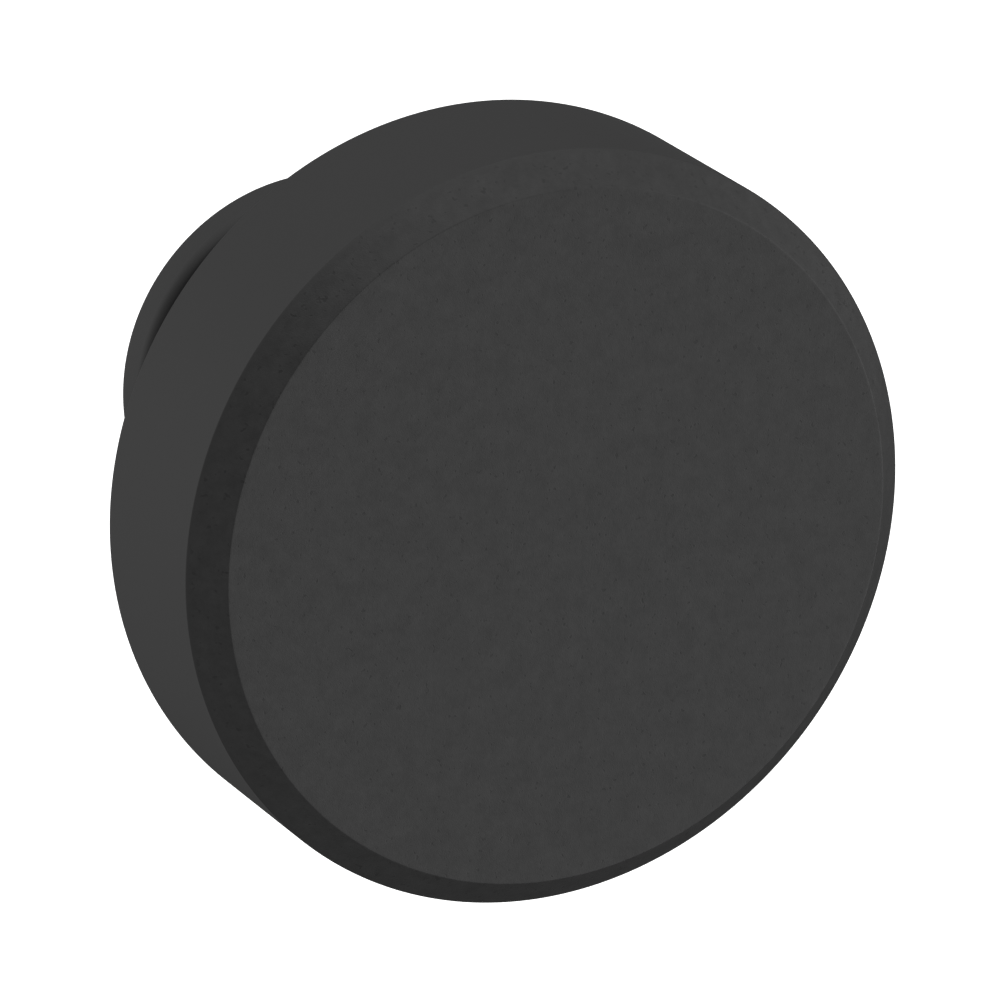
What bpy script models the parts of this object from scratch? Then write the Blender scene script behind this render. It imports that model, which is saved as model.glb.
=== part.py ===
"""Knob-shaped magnetic security tag detacher: a round magnet head on a waisted stem with a flanged foot.

Metres, +Z up. The foot's seating face lies on the plane Y = 0 with its centre at the origin, and the
working face looks along -Y. Every piece is modelled on an upright local axis and hangs on one empty,
which lays that axis level. In the local frame a height is the distance from the foot's seating face.
"""

import math

import bmesh
import bpy

MM = 0.001

# Driving dimensions of the outside.
HEAD_RADIUS = 25 * MM
HEAD_DEPTH = 14 * MM
TOTAL_DEPTH = 38 * MM
EDGE_CHAMFER = 2 * MM
FOOT_RADIUS = 13.6 * MM
FOOT_RIM = 2.2 * MM
FOOT_ROUND = 0.8 * MM
FOOT_LEDGE = 1.6 * MM
FOOT_FILLET = 1.8 * MM
FILLET_END_DEG = 70
WAIST_HEIGHT = 12.5 * MM

# Clearances: pieces that rest on or in each other keep a small gap.
GAP = 0.2 * MM
THIN_GAP = 0.1 * MM
OVERLAP = 0.5 * MM

# Head shell and back plate.
FACE_WALL = 1.6 * MM
SIDE_WALL = 2.2 * MM
RIM_WALL = 1.6 * MM
LEDGE_DEPTH = 2.8 * MM
INNER_FILLET = 0.8 * MM
PLATE_THICKNESS = 2.4 * MM
PLATE_BOSS_RADIUS = 6 * MM
PLATE_BOSS_HEIGHT = 1.9 * MM
SCREW_COUNT = 4
SCREW_CIRCLE = 19.6 * MM
SCREW_FIRST_DEG = 45
BOSS_RADIUS = 2.6 * MM
BOSS_RIB_WIDTH = 2 * MM
PILOT_RADIUS = 1.4 * MM
PILOT_DEPTH = 7.2 * MM

# Closing screws, countersunk, with a hexagonal socket.
CLOSING_HEAD_RADIUS = 2.6 * MM
CLOSING_SHANK_RADIUS = 1.2 * MM
CLOSING_LENGTH = 8.7 * MM
CLOSING_SOCKET_RADIUS = 1.15 * MM
CLOSING_SOCKET_DEPTH = 0.9 * MM

# Magnet pack.
YOKE_RADIUS = 16.7 * MM
YOKE_WALL = 1.2 * MM
YOKE_BASE = 1.5 * MM
CENTRE_MAGNET_RADIUS = 6 * MM
CAGE_HUB_WALL = 0.8 * MM
CAGE_RIM_WALL = 0.9 * MM
RING_MAGNET_COUNT = 8
RING_MAGNET_DEG = 38
POCKET_EXTRA_DEG = 1.8
MAGNET_EDGE = 0.25 * MM
FOAM_THICKNESS = 1.2 * MM
FOAM_RADIUS = 16.2 * MM
FOAM_HOLE_RADIUS = 6 * MM

# Stem with its inserts, screw and dowels.
HEAD_INSERT_RADIUS = 3.6 * MM
HEAD_INSERT_BORE = 2.6 * MM
HEAD_INSERT_LENGTH = 7.6 * MM
HEAD_INSERT_FLOOR = 13.8 * MM
STEM_SCREW_RADIUS = 2.4 * MM
STEM_SCREW_HEAD_RADIUS = 4.6 * MM
STEM_SCREW_HEAD_HEIGHT = 2.2 * MM
STEM_SCREW_LENGTH = 11.7 * MM
STEM_SOCKET_RADIUS = 1.75 * MM
STEM_SOCKET_DEPTH = 1.6 * MM
STEM_SCREW_HOLE = 2.7 * MM
FOOT_INSERT_RADIUS = 5.3 * MM
FOOT_INSERT_BORE = 3.4 * MM
FOOT_INSERT_LENGTH = 11.5 * MM
FOOT_INSERT_FLOOR = 12.2 * MM
FOOT_INSERT_INSET = 0.3 * MM
INSERT_GROOVE = 0.5 * MM
INSERT_MOUTH = 0.5 * MM
DOWEL_RADIUS = 1 * MM
DOWEL_CIRCLE = 8 * MM
DOWEL_LENGTH = 5.8 * MM
DOWEL_EDGE = 0.2 * MM
FOOT_RING_THICKNESS = 0.8 * MM
FOOT_RING_OUTER = 12.4 * MM
FOOT_RING_INNER = 7.1 * MM

# Fineness of the round surfaces, in steps to a full turn.
LARGE_STEPS = 64
SMALL_STEPS = 24
TINY_STEPS = 16
SHARP_DEG = 30

# Heights that follow from the dimensions above.
HEAD_BACK = TOTAL_DEPTH - HEAD_DEPTH
CEILING = TOTAL_DEPTH - FACE_WALL
LEDGE = HEAD_BACK + LEDGE_DEPTH
PLATE_OUTER = HEAD_BACK + GAP
PLATE_INNER = PLATE_OUTER + PLATE_THICKNESS
FOAM_BOTTOM = PLATE_INNER + GAP
YOKE_BOTTOM = FOAM_BOTTOM + FOAM_THICKNESS + GAP
MAGNET_BOTTOM = YOKE_BOTTOM + YOKE_BASE + GAP
MAGNET_TOP = CEILING - 1.5 * GAP

# Radii of the magnet pack, from the middle outwards.
HUB_INNER = CENTRE_MAGNET_RADIUS + GAP
HUB_OUTER = HUB_INNER + CAGE_HUB_WALL
RING_MAGNET_INNER = HUB_OUTER + GAP
CAGE_OUTER = YOKE_RADIUS - YOKE_WALL - GAP
POCKET_OUTER = CAGE_OUTER - CAGE_RIM_WALL
RING_MAGNET_OUTER = POCKET_OUTER - GAP


def clear_scene():
    for obj in list(bpy.data.objects):
        bpy.data.objects.remove(obj, do_unlink=True)


def new_collection(name):
    collection = bpy.data.collections.new(name)
    bpy.context.scene.collection.children.link(collection)
    return collection


def material(name, color, roughness, metallic=0.0):
    """A Principled material with one plain colour."""
    made = bpy.data.materials.new(name)
    made.use_nodes = True
    shader = made.node_tree.nodes["Principled BSDF"]
    shader.inputs["Base Color"].default_value = (*color, 1)
    shader.inputs["Roughness"].default_value = roughness
    shader.inputs["Metallic"].default_value = metallic
    made.diffuse_color = (*color, 1)
    return made


def arc(centre, radius, start_deg, end_deg, steps):
    """Points (radius, height) of an arc; 0 degrees points outwards and 90 degrees along +height."""
    points = []
    for i in range(steps + 1):
        angle = math.radians(start_deg + (end_deg - start_deg) * i / steps)
        points.append((centre[0] + radius * math.cos(angle), centre[1] + radius * math.sin(angle)))
    return points


def rectangle_profile(inner, outer, bottom, top, edge=0.0):
    """Closed outline of a plain ring or disc, its outer side first and downwards, with broken edges."""
    outline = [(outer - edge, top), (outer, top - edge), (outer, bottom + edge), (outer - edge, bottom)]
    if edge == 0:
        outline = [(outer, top), (outer, bottom)]
    if inner == 0:
        return [(0, top), *outline, (0, bottom)]
    return [*outline, (inner, bottom), (inner, top)]


def sector(name, inner, outer, span_deg, bottom, top):
    """A curve that fills a ring sector centred on +X, as thick as bottom to top."""
    curve = bpy.data.curves.new(name, "CURVE")
    curve.dimensions = "2D"
    curve.fill_mode = "BOTH"
    curve.extrude = (top - bottom) / 2
    half = span_deg / 2
    outline = arc((0, 0), outer, -half, half, 8) + arc((0, 0), inner, half, -half, 5)
    spline = curve.splines.new("POLY")
    spline.points.add(len(outline) - 1)
    for point, (x, y) in zip(spline.points, outline):
        point.co = (x, y, 0, 1)
    spline.use_cyclic_u = True
    return curve


def solid_of(name, curve, height):
    """A closed mesh made from a curve, with its caps welded and its middle raised to a height."""
    source = bpy.data.objects.new(name + "_outline", curve)
    bpy.context.scene.collection.objects.link(source)
    graph = bpy.context.evaluated_depsgraph_get()
    mesh = bpy.data.meshes.new_from_object(source.evaluated_get(graph))
    bpy.data.objects.remove(source, do_unlink=True)
    shape = bmesh.new()
    shape.from_mesh(mesh)
    bmesh.ops.remove_doubles(shape, verts=shape.verts, dist=1e-6)
    bmesh.ops.recalc_face_normals(shape, faces=shape.faces)
    bmesh.ops.translate(shape, verts=shape.verts, vec=(0, 0, height))
    shape.to_mesh(mesh)
    shape.free()
    mesh.name = name
    return mesh


class Bench:
    """Makes objects in the right collection, on the detacher's axis."""

    def __init__(self):
        self.parts = new_collection("security_tag_detacher")
        self.cutters = new_collection("cutters")
        self.axis = bpy.data.objects.new("detacher_axis", None)
        self.axis.rotation_euler = (math.radians(90), 0, 0)
        self.parts.objects.link(self.axis)

    def place(self, name, data, finish=None, turn_deg=0.0):
        """A part if it has a finish, and a hidden cutter if it has none."""
        obj = bpy.data.objects.new(name, data)
        (self.parts if finish else self.cutters).objects.link(obj)
        obj.parent = self.axis
        obj.rotation_euler = (0, 0, math.radians(turn_deg))
        if finish and not data.materials:
            data.materials.append(finish)
        if finish is None:
            obj.hide_render = True
            obj.display_type = "WIRE"
        return obj

    def turned(self, name, profile, finish=None, steps=LARGE_STEPS):
        """A turned piece: the profile's points are (radius, height), its ends on the axis or joined."""
        ring = profile[0][0] > 0
        mesh = bpy.data.meshes.new(name)
        edges = [(i, i + 1) for i in range(len(profile) - 1)]
        if ring:
            edges.append((len(profile) - 1, 0))
        mesh.from_pydata([(r, 0, h) for r, h in profile], edges, [])
        obj = self.place(name, mesh, finish)
        screw = obj.modifiers.new("turn", "SCREW")
        screw.axis = "Z"
        screw.angle = math.tau
        screw.steps = steps
        screw.render_steps = steps
        screw.use_merge_vertices = True
        screw.merge_threshold = 1e-6
        screw.use_smooth_shade = False
        return obj

    def prism(self, name, centre, radii, bottom, top, sides, finish=None, turn_deg=0.0):
        """A cylinder, cone or prism standing on the point centre, with a radius at each end."""
        mesh = bpy.data.meshes.new(name)
        shape = bmesh.new()
        bmesh.ops.create_cone(
            shape, cap_ends=True, segments=sides, radius1=radii[0], radius2=radii[1], depth=top - bottom
        )
        bmesh.ops.translate(shape, verts=shape.verts, vec=(centre[0], centre[1], (bottom + top) / 2))
        shape.to_mesh(mesh)
        shape.free()
        return self.place(name, mesh, finish, turn_deg)

    def block(self, name, size, middle, turn_deg=0.0):
        """A box cutter or joiner of that size, turned about the axis."""
        mesh = bpy.data.meshes.new(name)
        shape = bmesh.new()
        bmesh.ops.create_cube(shape, size=1)
        bmesh.ops.scale(shape, verts=shape.verts, vec=size)
        bmesh.ops.translate(shape, verts=shape.verts, vec=middle)
        shape.to_mesh(mesh)
        shape.free()
        return self.place(name, mesh, None, turn_deg)


def boolean(target, tools, operation):
    for tool in tools:
        step = target.modifiers.new(f"{operation.lower()}_{tool.name}", "BOOLEAN")
        step.operation = operation
        step.solver = "EXACT"
        step.object = tool


def settle(obj):
    """Applies an object's modifiers and shades it smooth between its edges."""
    graph = bpy.context.evaluated_depsgraph_get()
    mesh = bpy.data.meshes.new_from_object(obj.evaluated_get(graph))
    obj.modifiers.clear()
    obj.data = mesh
    mesh.name = obj.name
    mesh.shade_smooth()
    mesh.set_sharp_from_angle(angle=math.radians(SHARP_DEG))


def around(count, first_deg=0.0):
    """Angles in degrees, evenly spread over a turn."""
    return [first_deg + 360 * i / count for i in range(count)]


def head_shell(bench, finish):
    """One moulded cup: working face, chamfered edge and side wall, with four screw bosses inside."""
    inner = HEAD_RADIUS - SIDE_WALL
    corner = arc((inner - INNER_FILLET, CEILING - INNER_FILLET), INNER_FILLET, 0, 90, 4)
    profile = [
        (0, TOTAL_DEPTH),
        (HEAD_RADIUS - EDGE_CHAMFER, TOTAL_DEPTH),
        (HEAD_RADIUS, TOTAL_DEPTH - EDGE_CHAMFER),
        (HEAD_RADIUS, HEAD_BACK),
        (HEAD_RADIUS - RIM_WALL, HEAD_BACK),
        (HEAD_RADIUS - RIM_WALL, LEDGE),
        (inner, LEDGE),
        *corner,
        (0, CEILING),
    ]
    shell = bench.turned("head_shell", profile, finish)
    boss = [
        bench.prism(
            f"shell_boss_{i}", (SCREW_CIRCLE, 0), (BOSS_RADIUS, BOSS_RADIUS),
            LEDGE, CEILING + OVERLAP, SMALL_STEPS, turn_deg=turn,
        )
        for i, turn in enumerate(around(SCREW_COUNT, SCREW_FIRST_DEG))
    ]
    rib_start, rib_end = SCREW_CIRCLE + BOSS_RADIUS / 2, inner + OVERLAP
    rib_bottom, rib_top = LEDGE + OVERLAP, CEILING + OVERLAP
    rib = [
        bench.block(
            f"shell_boss_rib_{i}",
            (rib_end - rib_start, BOSS_RIB_WIDTH, rib_top - rib_bottom),
            ((rib_start + rib_end) / 2, 0, (rib_bottom + rib_top) / 2),
            turn,
        )
        for i, turn in enumerate(around(SCREW_COUNT, SCREW_FIRST_DEG))
    ]
    pilot = [
        bench.prism(
            f"shell_pilot_{i}", (SCREW_CIRCLE, 0), (PILOT_RADIUS, PILOT_RADIUS),
            LEDGE - OVERLAP, LEDGE + PILOT_DEPTH, TINY_STEPS, turn_deg=turn,
        )
        for i, turn in enumerate(around(SCREW_COUNT, SCREW_FIRST_DEG))
    ]
    boolean(shell, boss + rib, "UNION")
    boolean(shell, pilot, "DIFFERENCE")


def back_plate(bench, finish):
    """Closes the head. Its middle boss plugs into the stem and takes the stem screw's countersink."""
    radius = HEAD_RADIUS - RIM_WALL - 1.5 * GAP
    countersink = STEM_SCREW_HEAD_HEIGHT + GAP
    profile = [
        (STEM_SCREW_HEAD_RADIUS + GAP, PLATE_INNER),
        (radius, PLATE_INNER),
        (radius, PLATE_OUTER),
        (PLATE_BOSS_RADIUS, PLATE_OUTER),
        (PLATE_BOSS_RADIUS, PLATE_OUTER - PLATE_BOSS_HEIGHT),
        (STEM_SCREW_HOLE, PLATE_OUTER - PLATE_BOSS_HEIGHT),
        (STEM_SCREW_HOLE, PLATE_INNER - countersink),
    ]
    plate = bench.turned("back_plate", profile, finish)
    hole_radius = CLOSING_SHANK_RADIUS + 2 * GAP
    sink_radius = CLOSING_HEAD_RADIUS + GAP
    sink_depth = sink_radius - hole_radius
    cutters = []
    for i, turn in enumerate(around(SCREW_COUNT, SCREW_FIRST_DEG)):
        cutters.append(
            bench.prism(
                f"plate_hole_{i}", (SCREW_CIRCLE, 0), (hole_radius, hole_radius),
                PLATE_OUTER - OVERLAP, PLATE_INNER + OVERLAP, TINY_STEPS, turn_deg=turn,
            )
        )
        cutters.append(
            bench.prism(
                f"plate_sink_{i}", (SCREW_CIRCLE, 0), (sink_radius + OVERLAP, hole_radius),
                PLATE_OUTER - OVERLAP, PLATE_OUTER + sink_depth, TINY_STEPS, turn_deg=turn,
            )
        )
    for i, turn in enumerate(around(2)):
        cutters.append(
            bench.prism(
                f"plate_dowel_hole_{i}", (DOWEL_CIRCLE, 0), (DOWEL_RADIUS + THIN_GAP,) * 2,
                PLATE_OUTER - OVERLAP, PLATE_OUTER + DOWEL_LENGTH / 4 + GAP, TINY_STEPS, turn_deg=turn,
            )
        )
    boolean(plate, cutters, "DIFFERENCE")


def closing_screws(bench, finish):
    """Four countersunk screws that hold the back plate to the shell's bosses."""
    cone = CLOSING_HEAD_RADIUS - CLOSING_SHANK_RADIUS
    profile = [
        (0, CLOSING_LENGTH),
        (CLOSING_SHANK_RADIUS, CLOSING_LENGTH - CLOSING_SHANK_RADIUS),
        (CLOSING_SHANK_RADIUS, cone),
        (CLOSING_HEAD_RADIUS, 0),
        (0, 0),
    ]
    first = bench.turned("closing_screw_1", profile, finish, SMALL_STEPS)
    socket = bench.prism(
        "closing_screw_socket", (0, 0), (CLOSING_SOCKET_RADIUS,) * 2, -OVERLAP, CLOSING_SOCKET_DEPTH, 6
    )
    boolean(first, [socket], "DIFFERENCE")
    settle(first)
    rest = [bench.place(f"closing_screw_{i + 1}", first.data, finish) for i in range(1, SCREW_COUNT)]
    for screw, turn in zip([first, *rest], around(SCREW_COUNT, SCREW_FIRST_DEG)):
        x, y = SCREW_CIRCLE * math.cos(math.radians(turn)), SCREW_CIRCLE * math.sin(math.radians(turn))
        screw.location = (x, y, PLATE_OUTER + THIN_GAP)


def yoke_cup(bench, finish):
    """Pressed steel cup behind and around the magnets, open to the working face."""
    inner = YOKE_RADIUS - YOKE_WALL
    profile = [
        (0, YOKE_BOTTOM + YOKE_BASE),
        (inner, YOKE_BOTTOM + YOKE_BASE),
        (inner, MAGNET_TOP),
        (YOKE_RADIUS, MAGNET_TOP),
        *[
            (YOKE_RADIUS - YOKE_WALL + r, YOKE_BOTTOM + YOKE_WALL + h)
            for r, h in arc((0, 0), YOKE_WALL, 0, -90, 3)
        ],
        (0, YOKE_BOTTOM),
    ]
    bench.turned("yoke_cup", profile, finish)


def magnet_cage(bench, finish):
    """Moulded spoked ring that keeps the magnets apart."""
    cage = bench.turned(
        "magnet_cage", rectangle_profile(HUB_INNER, CAGE_OUTER, MAGNET_BOTTOM, MAGNET_TOP), finish
    )
    bottom, top = MAGNET_BOTTOM - OVERLAP, MAGNET_TOP + OVERLAP
    outline = sector(
        "pocket", HUB_OUTER, POCKET_OUTER, RING_MAGNET_DEG + POCKET_EXTRA_DEG, bottom, top
    )
    pocket = solid_of("cage_pocket", outline, (bottom + top) / 2)
    cutters = [
        bench.place(f"cage_pocket_{i}", pocket, None, turn)
        for i, turn in enumerate(around(RING_MAGNET_COUNT))
    ]
    boolean(cage, cutters, "DIFFERENCE")


def magnets(bench, finish):
    """One disc magnet in the middle and a ring of sector magnets, all nickel-plated."""
    bench.turned(
        "centre_magnet",
        rectangle_profile(0, CENTRE_MAGNET_RADIUS, MAGNET_BOTTOM, MAGNET_TOP, MAGNET_EDGE),
        finish,
        SMALL_STEPS,
    )
    outline = sector(
        "sector", RING_MAGNET_INNER, RING_MAGNET_OUTER, RING_MAGNET_DEG, MAGNET_BOTTOM, MAGNET_TOP
    )
    segment = solid_of("ring_magnet", outline, (MAGNET_BOTTOM + MAGNET_TOP) / 2)
    for i, turn in enumerate(around(RING_MAGNET_COUNT)):
        bench.place(f"ring_magnet_{i + 1}", segment, finish, turn)


def foam_pad(bench, finish):
    """Pressed between plate and yoke, so that the magnet pack can't rattle."""
    top = FOAM_BOTTOM + FOAM_THICKNESS
    bench.turned("foam_pad", rectangle_profile(FOAM_HOLE_RADIUS, FOAM_RADIUS, FOAM_BOTTOM, top), finish)


def waist_profile():
    """The stem's side, head end first: a long hollow arc, a fillet, a ledge and the foot's round edge."""
    ledge_radius = FOOT_RADIUS - FOOT_LEDGE
    ledge_height = FOOT_RIM + FOOT_ROUND
    tilt = math.radians(FILLET_END_DEG)
    low_radius = ledge_radius - FOOT_FILLET * math.sin(tilt)
    low_height = ledge_height + FOOT_FILLET * (1 - math.cos(tilt))
    sweep = (WAIST_HEIGHT - low_height) / math.cos(tilt)
    centre = (low_radius + sweep * math.sin(tilt), WAIST_HEIGHT)
    top_deg = 180 - math.degrees(math.asin((HEAD_BACK - WAIST_HEIGHT) / sweep))
    low_deg = 180 + (90 - FILLET_END_DEG)
    side = arc(centre, sweep, top_deg, low_deg, 9)
    fillet = arc((ledge_radius, ledge_height + FOOT_FILLET), FOOT_FILLET, low_deg, 270, 3)
    edge = arc((FOOT_RADIUS - FOOT_ROUND, FOOT_RIM), FOOT_ROUND, 90, 0, 4)
    return [*side, *fillet[1:], *edge, (FOOT_RADIUS, 0)]


def stem(bench, finish):
    """Waisted stem with the foot flange, a hole for an insert at each end and two dowel holes."""
    head_hole = HEAD_INSERT_RADIUS + GAP
    plug_hole = PLATE_BOSS_RADIUS + GAP
    plug_floor = PLATE_OUTER - PLATE_BOSS_HEIGHT - GAP
    ring_floor = FOOT_RING_THICKNESS + THIN_GAP
    profile = [
        (0, HEAD_INSERT_FLOOR),
        (head_hole, HEAD_INSERT_FLOOR),
        (head_hole, plug_floor),
        (plug_hole, plug_floor),
        (plug_hole, HEAD_BACK),
        *waist_profile(),
        (FOOT_RING_OUTER + GAP, 0),
        (FOOT_RING_OUTER + GAP, ring_floor),
        (FOOT_RING_INNER - GAP, ring_floor),
        (FOOT_RING_INNER - GAP, 0),
        (FOOT_INSERT_RADIUS + GAP, 0),
        (FOOT_INSERT_RADIUS + GAP, FOOT_INSERT_FLOOR),
        (0, FOOT_INSERT_FLOOR),
    ]
    body = bench.turned("stem", profile, finish)
    floor = PLATE_OUTER + DOWEL_LENGTH / 4 - DOWEL_LENGTH - GAP
    holes = [
        bench.prism(
            f"stem_dowel_hole_{i}", (DOWEL_CIRCLE, 0), (DOWEL_RADIUS + THIN_GAP,) * 2,
            floor, HEAD_BACK + OVERLAP, TINY_STEPS, turn_deg=turn,
        )
        for i, turn in enumerate(around(2))
    ]
    boolean(body, holes, "DIFFERENCE")


def stem_screw(bench, finish):
    """Countersunk machine screw with a hexagon socket, from inside the head into the stem."""
    top = PLATE_INNER - THIN_GAP
    tip = top - STEM_SCREW_LENGTH
    neck = top - STEM_SCREW_HEAD_HEIGHT
    profile = [
        (0, top),
        (STEM_SCREW_HEAD_RADIUS, top),
        (STEM_SCREW_RADIUS, neck),
        (STEM_SCREW_RADIUS, tip + THIN_GAP),
        (STEM_SCREW_RADIUS - THIN_GAP, tip),
        (0, tip),
    ]
    screw = bench.turned("stem_screw", profile, finish, SMALL_STEPS)
    socket = bench.prism(
        "stem_screw_socket", (0, 0), (STEM_SOCKET_RADIUS,) * 2, top - STEM_SOCKET_DEPTH, top + OVERLAP, 6
    )
    boolean(screw, [socket], "DIFFERENCE")


def insert_profile(radius, bore, bottom, top):
    """A threaded insert: a waisted groove between two knurled bands, and a chamfered mouth at each end."""
    third = (top - bottom) / 3
    return [
        (radius, top),
        (radius, top - third),
        (radius - INSERT_GROOVE, top - third - INSERT_GROOVE),
        (radius - INSERT_GROOVE, bottom + third + INSERT_GROOVE),
        (radius, bottom + third),
        (radius, bottom),
        (bore + INSERT_MOUTH, bottom),
        (bore, bottom + INSERT_MOUTH),
        (bore, top - INSERT_MOUTH),
        (bore + INSERT_MOUTH, top),
    ]


def inserts(bench, finish):
    """Brass threaded inserts: one takes the stem screw, the other the customer's fixing screw."""
    top = PLATE_OUTER - PLATE_BOSS_HEIGHT - 2 * GAP
    bottom = top - HEAD_INSERT_LENGTH
    outline = insert_profile(HEAD_INSERT_RADIUS, HEAD_INSERT_BORE, bottom, top)
    bench.turned("head_insert", outline, finish, SMALL_STEPS)
    bottom = FOOT_INSERT_INSET
    top = bottom + FOOT_INSERT_LENGTH
    outline = insert_profile(FOOT_INSERT_RADIUS, FOOT_INSERT_BORE, bottom, top)
    bench.turned("foot_insert", outline, finish, SMALL_STEPS)


def dowels(bench, finish):
    """Two steel pins that stop the stem from turning on the back plate."""
    top = PLATE_OUTER + DOWEL_LENGTH / 4
    for name, side in (("stem_dowel_left", -1), ("stem_dowel_right", 1)):
        pin = bench.prism(
            name, (0, 0), (DOWEL_RADIUS,) * 2, -DOWEL_LENGTH / 2, DOWEL_LENGTH / 2, TINY_STEPS, finish
        )
        pin.location = (side * DOWEL_CIRCLE, 0, top - DOWEL_LENGTH / 2)
        edge = pin.modifiers.new("edge", "BEVEL")
        edge.width = DOWEL_EDGE
        edge.segments = 1
        edge.limit_method = "ANGLE"
        edge.angle_limit = math.radians(60)


def foot_ring(bench, finish):
    """Rubber ring let into the foot, flush with its rim."""
    outline = rectangle_profile(FOOT_RING_INNER, FOOT_RING_OUTER, 0, FOOT_RING_THICKNESS)
    bench.turned("foot_ring", outline, finish)


def main():
    clear_scene()
    bench = Bench()
    plastic = material("black_textured_plastic", (0.042, 0.042, 0.043), 0.55)
    cage_nylon = material("natural_nylon", (0.62, 0.60, 0.54), 0.5)
    nickel = material("nickel_plated_magnet", (0.66, 0.63, 0.58), 0.25, 1.0)
    zinc = material("zinc_plated_steel", (0.55, 0.56, 0.58), 0.35, 1.0)
    black_steel = material("black_oxide_steel", (0.03, 0.03, 0.032), 0.45, 1.0)
    brass = material("turned_brass", (0.78, 0.57, 0.27), 0.3, 1.0)
    foam = material("grey_foam", (0.12, 0.12, 0.125), 0.95)
    rubber = material("black_rubber", (0.02, 0.02, 0.02), 0.85)

    head_shell(bench, plastic)
    back_plate(bench, plastic)
    closing_screws(bench, black_steel)
    yoke_cup(bench, zinc)
    magnet_cage(bench, cage_nylon)
    magnets(bench, nickel)
    foam_pad(bench, foam)
    stem(bench, plastic)
    stem_screw(bench, zinc)
    inserts(bench, brass)
    dowels(bench, zinc)
    foot_ring(bench, rubber)
    for obj in bench.parts.objects:
        if obj.modifiers:
            settle(obj)


main()
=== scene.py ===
# Looks of a knob-shaped magnetic tag detacher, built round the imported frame.
# Every piece is made upright, with its height counted from the foot's seating face, and then laid level
# as the frame has it: the foot at Y = 0 and the working face looking along -Y. Sizes are in millimetres.
import math

import bmesh
import bpy
from mathutils import Matrix, Vector


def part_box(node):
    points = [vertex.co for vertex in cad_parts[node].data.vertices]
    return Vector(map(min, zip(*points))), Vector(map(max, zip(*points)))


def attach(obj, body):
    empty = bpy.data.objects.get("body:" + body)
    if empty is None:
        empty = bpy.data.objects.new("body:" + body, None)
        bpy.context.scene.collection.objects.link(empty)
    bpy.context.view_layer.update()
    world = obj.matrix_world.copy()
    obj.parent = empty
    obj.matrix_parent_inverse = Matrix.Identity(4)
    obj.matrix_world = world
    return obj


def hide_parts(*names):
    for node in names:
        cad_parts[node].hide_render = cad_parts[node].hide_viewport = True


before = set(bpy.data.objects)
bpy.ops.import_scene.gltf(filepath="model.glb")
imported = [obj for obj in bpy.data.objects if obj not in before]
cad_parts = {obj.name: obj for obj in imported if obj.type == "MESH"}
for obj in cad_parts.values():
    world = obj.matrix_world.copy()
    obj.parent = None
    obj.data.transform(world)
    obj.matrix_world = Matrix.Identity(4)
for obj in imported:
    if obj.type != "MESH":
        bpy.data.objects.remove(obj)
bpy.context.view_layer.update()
mm = 0.001
hub = 0.001  # radius in mm of the small circle that an outline is swept round
weld = 0.0005  # mm within which two points become one
over = 1.0  # mm that a cutting tool stands out of the piece it cuts
layLevel = Matrix.Rotation(math.radians(90), 4, "X")
print("frame loaded:", len(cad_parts), "nodes")


def measure(node):
    # outer radius, lowest and highest height, and place on its circle, of a CAD node made upright, in mm
    low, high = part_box(node)
    across, up = (low.x + high.x) / 2 / mm, (low.z + high.z) / 2 / mm
    return {
        "radius": (high.x - low.x) / 2 / mm,
        "bottom": -high.y / mm,
        "top": -low.y / mm,
        "circle": math.hypot(across, up),
        "turn": math.degrees(math.atan2(up, across)),
    }


def addNode(tree, kind, inputs=None, **settings):
    # one node with its settings, and its inputs by name or number: a socket is linked, anything else is set
    node = tree.nodes.new(kind)
    for name, value in settings.items():
        setattr(node, name, value)
    for key, value in (inputs or {}).items():
        if isinstance(value, bpy.types.NodeSocket):
            tree.links.new(value, node.inputs[key])
        else:
            node.inputs[key].default_value = value
    return node


def newTree(name, inputs):
    # a geometry tree with a Geometry input and output and the named inputs; returns its input node too
    tree = bpy.data.node_groups.new(name, "GeometryNodeTree")
    tree.interface.new_socket(name="Geometry", in_out="INPUT", socket_type="NodeSocketGeometry")
    for socketName, kind in inputs.items():
        tree.interface.new_socket(name=socketName, in_out="INPUT", socket_type="NodeSocket" + kind)
    tree.interface.new_socket(name="Geometry", in_out="OUTPUT", socket_type="NodeSocketGeometry")
    return tree, addNode(tree, "NodeGroupInput").outputs


def runTree(name, mesh, tree, values):
    # gives a mesh to a tree and returns the plain mesh that comes out
    source = bpy.data.objects.new(name, mesh)
    bpy.context.scene.collection.objects.link(source)
    modifier = source.modifiers.new(tree.name, "NODES")
    modifier.node_group = tree
    for item in tree.interface.items_tree:
        if item.in_out == "INPUT" and item.name in values:
            modifier[item.identifier] = values[item.name]
    graph = bpy.context.evaluated_depsgraph_get()
    made = bpy.data.meshes.new_from_object(source.evaluated_get(graph))
    bpy.data.objects.remove(source, do_unlink=True)
    made.name = name
    return made


def faceOutwards(mesh):
    shape = bmesh.new()
    shape.from_mesh(mesh)
    bmesh.ops.remove_doubles(shape, verts=shape.verts, dist=weld * mm)
    bmesh.ops.dissolve_degenerate(shape, edges=shape.edges, dist=weld * mm)
    bmesh.ops.recalc_face_normals(shape, faces=shape.faces)
    shape.to_mesh(mesh)
    shape.free()
    return mesh


def combine(mesh, tools, operation):
    # cuts a mesh with others or joins them to it
    target = bpy.data.objects.new("target", mesh)
    bpy.context.scene.collection.objects.link(target)
    toolObjects = []
    for tool in tools:
        toolObjects.append(bpy.data.objects.new("tool", tool))
        bpy.context.scene.collection.objects.link(toolObjects[-1])
        step = target.modifiers.new("step", "BOOLEAN")
        step.operation = operation
        step.solver = "EXACT"
        step.object = toolObjects[-1]
    graph = bpy.context.evaluated_depsgraph_get()
    made = bpy.data.meshes.new_from_object(target.evaluated_get(graph))
    for used in [target, *toolObjects]:
        bpy.data.objects.remove(used, do_unlink=True)
    return faceOutwards(made)


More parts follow.
